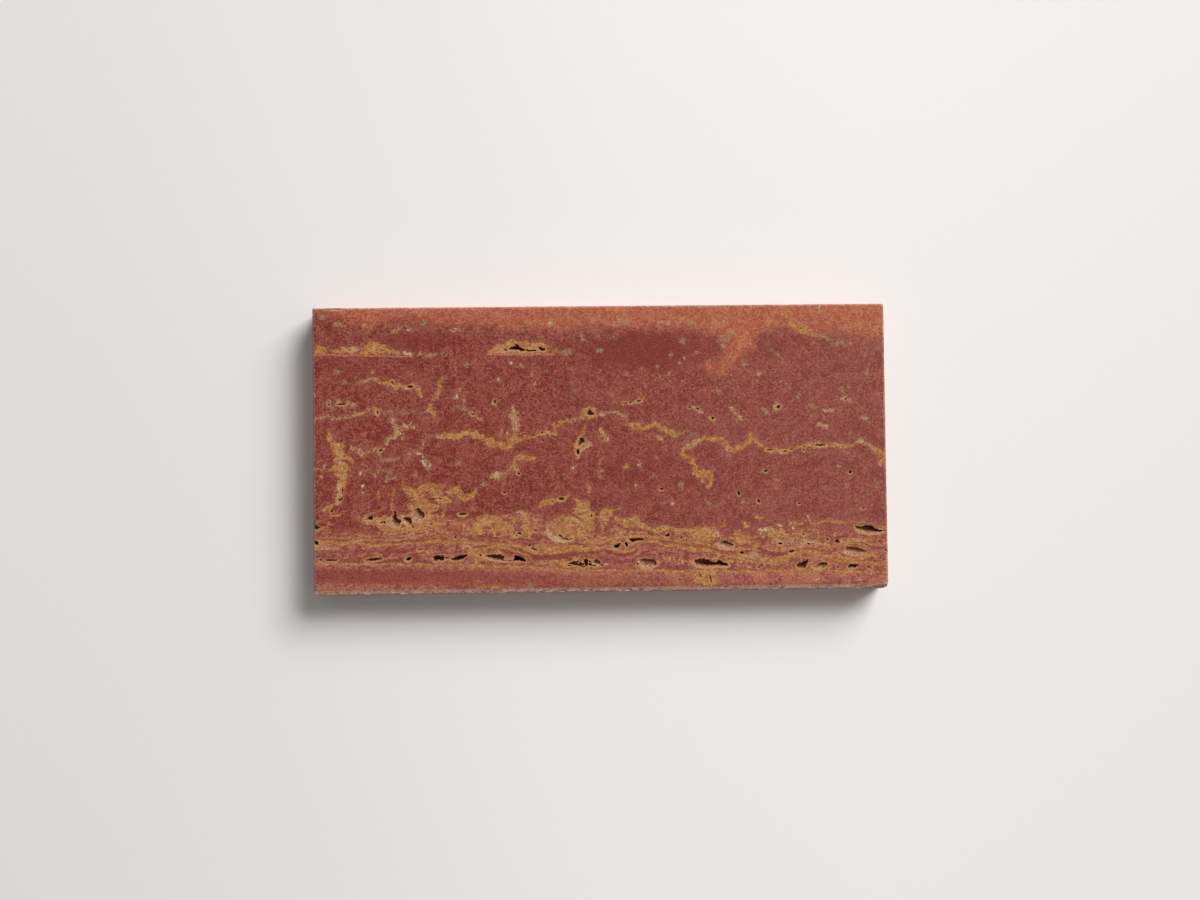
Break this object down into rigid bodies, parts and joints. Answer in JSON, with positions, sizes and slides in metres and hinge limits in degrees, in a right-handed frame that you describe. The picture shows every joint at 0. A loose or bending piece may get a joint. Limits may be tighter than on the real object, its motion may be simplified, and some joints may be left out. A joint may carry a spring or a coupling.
{
  "type": "travertine subway tile",
  "caption": "Rectangular wall tile of red travertine, sawn across its beds, honed, with eased edges and unfilled natural cavities.",
  "frame": {"origin": "centre of the back face, which the tile rests on", "axes": "+X along the tile's length, +Y across its width towards the orange bed, +Z out of the honed face"},
  "size_m": [0.1524, 0.0762, 0.01],
  "materials": {
    "travertine": "honed"
  },
  "bodies": {
    "root": {"tile": "travertine"}
  },
  "joints": []
}
